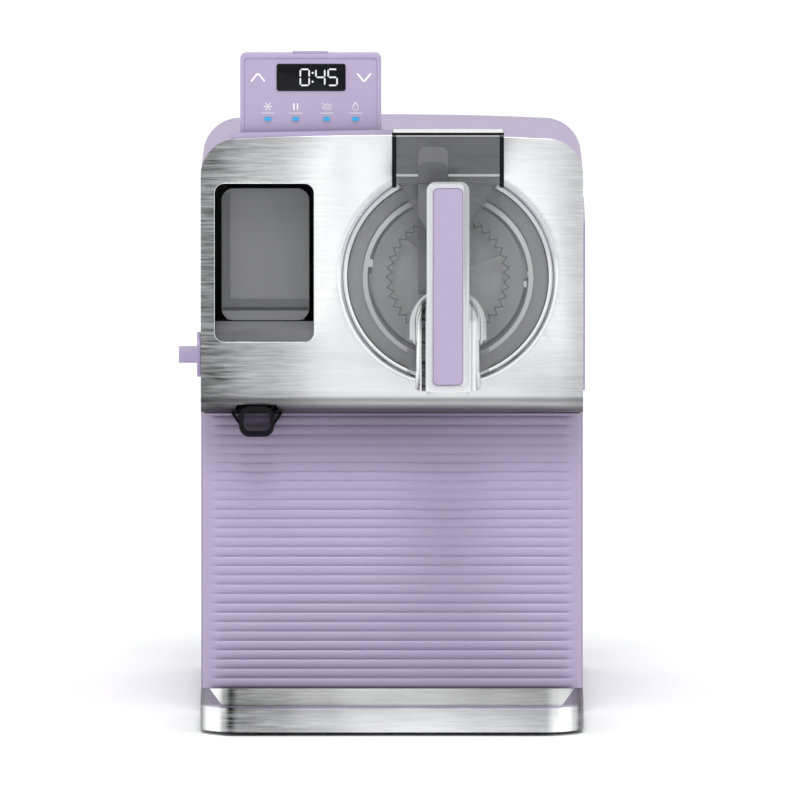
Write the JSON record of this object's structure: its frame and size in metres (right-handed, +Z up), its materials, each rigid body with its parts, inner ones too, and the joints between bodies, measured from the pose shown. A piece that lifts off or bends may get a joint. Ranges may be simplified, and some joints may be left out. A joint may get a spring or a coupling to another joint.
{
  "type": "ice cream maker",
  "caption": "Counter-top soft-serve ice cream maker: ribbed column, steel head, smoked freezing cover, spout lever, tilting control panel, topping dispenser and drip tray.",
  "frame": {"origin": "middle of the footprint on the surface that the machine stands on", "axes": "+Z up; the spout and drip tray face -Y; +X to the right in the front view"},
  "size_m": [0.2514, 0.35, 0.4137],
  "materials": {
    "lavender_shell": "satin lavender plastic",
    "lavender_trim": "satin lavender plastic",
    "steel_panel": "horizontally brushed stainless steel",
    "tray_steel": "brushed stainless steel",
    "polished_steel": "polished metal",
    "lever_chrome": "polished chrome",
    "smoked_plastic": "smoked transparent plastic",
    "grey_plastic": "satin grey plastic",
    "dark_plastic": "fine grained dark plastic",
    "white_plastic": "food grade white plastic",
    "silicone": "white silicone",
    "black_rubber": "black rubber",
    "black_glass": "black display window",
    "machined_steel": "machined steel",
    "cylinder_aluminium": "drawn aluminium",
    "copper": "bare copper tube",
    "foam": "closed cell foam",
    "painted_black": "black enamel",
    "galvanised": "galvanised sheet",
    "gear_nylon": "natural nylon",
    "brass": "machined brass",
    "board_green": "solder masked board",
    "cable": "black cable sleeve"
  },
  "bodies": {
    "housing": {"base_pan": "dark_plastic", "rubber_feet": "black_rubber", "column_front": "lavender_shell", "left_side_shell": "lavender_shell", "right_side_shell": "lavender_shell", "rear_cover": "lavender_shell", "top_cover": "lavender_shell", "front_panel": "steel_panel", "bezel_ring": "polished_steel", "freezing_cylinder": "cylinder_aluminium", "evaporator_coil": "copper", "insulation_jacket": "foam", "shaft_seal": "black_rubber", "rear_bearing": "machined_steel", "gearbox_housing": "grey_plastic", "gearbox_cover": "grey_plastic", "drive_motor": "galvanised", "chassis_frame": "galvanised", "compressor": "painted_black", "compressor_mounts": "black_rubber", "refrigerant_tubes": "copper", "filter_drier": "copper", "condenser": "galvanised", "fan_shroud": "dark_plastic", "fan_motor": "galvanised", "main_board": "board_green", "wiring_harness": "cable", "panel_hinge_pin": "machined_steel", "recess_liner": "grey_plastic", "rotor_housing": "grey_plastic", "topping_chute": "smoked_plastic", "side_vent": "lavender_trim", "power_inlet": "dark_plastic", "cover_screws": "machined_steel"},
    "tray": {"drip_tray": "tray_steel"},
    "cover": {"front_cover": "smoked_plastic", "hopper": "smoked_plastic", "hopper_lid_pin": "machined_steel", "cover_seals": "silicone", "spout_collar": "grey_plastic", "spout_barrel": "polished_steel", "star_nozzle": "white_plastic"},
    "lid": {"hopper_lid": "smoked_plastic"},
    "lever": {"lever_frame": "lever_chrome", "lever_inlay": "lavender_trim", "lever_pin": "machined_steel"},
    "spool": {"plunger": "white_plastic", "plunger_seal": "black_rubber"},
    "auger_rotor": {"auger": "white_plastic", "auger_shaft": "machined_steel", "drive_gear": "gear_nylon"},
    "motor_rotor": {"pinion": "brass"},
    "fan_rotor": {"fan_impeller": "dark_plastic"},
    "panel": {"panel_shell": "lavender_trim", "panel_face": "lavender_trim", "display_window": "black_glass", "panel_board": "board_green"},
    "bin": {"topping_bin": "smoked_plastic"},
    "topping_drive": {"topping_rotor": "white_plastic", "topping_knob": "lavender_trim"}
  },
  "joints": [
    {"name": "tray_slide", "type": "slide", "parent": "housing", "child": "tray", "axis": [0, -1, 0], "range_m": [0, 0.12]},
    {"name": "cover_slide", "type": "slide", "parent": "housing", "child": "cover", "axis": [0, -1, 0], "range_m": [0, 0.06]},
    {"name": "lid_hinge", "type": "hinge", "parent": "cover", "child": "lid", "pos_m": [0.04065, -0.0956, 0.3657], "axis": [-1, 0, 0], "range_deg": [0, 100]},
    {"name": "lever_hinge", "type": "hinge", "parent": "cover", "child": "lever", "pos_m": [0.04065, -0.15, 0.222], "axis": [1, 0, 0], "range_deg": [0, 45]},
    {"name": "spool_slide", "type": "slide", "parent": "cover", "child": "spool", "axis": [0, 0, 1], "range_m": [0, 0.0123]},
    {"name": "auger_spin", "type": "hinge", "parent": "housing", "child": "auger_rotor", "pos_m": [0.04065, 0.029, 0.276], "axis": [0, 1, 0], "continuous": true},
    {"name": "motor_spin", "type": "hinge", "parent": "housing", "child": "motor_rotor", "pos_m": [0.04065, 0.094, 0.22], "axis": [0, 1, 0], "continuous": true},
    {"name": "fan_spin", "type": "hinge", "parent": "housing", "child": "fan_rotor", "pos_m": [0.06765, 0.119, 0.082], "axis": [0, 1, 0], "continuous": true},
    {"name": "panel_tilt", "type": "hinge", "parent": "housing", "child": "panel", "pos_m": [-0.04385, -0.077, 0.356], "axis": [-1, 0, 0], "range_deg": [0, 88]},
    {"name": "bin_slide", "type": "slide", "parent": "housing", "child": "bin", "axis": [0, -1, 0], "range_m": [0, 0.075]},
    {"name": "topping_spin", "type": "hinge", "parent": "housing", "child": "topping_drive", "pos_m": [-0.09385, -0.051, 0.2226], "axis": [1, 0, 0], "continuous": true}
  ],
  "couplings": [
    {"joint": "spool_slide", "follows": "lever_hinge", "m_per_rad": 0.0155},
    {"joint": "motor_spin", "follows": "auger_spin", "ratio": -3.6667}
  ]
}
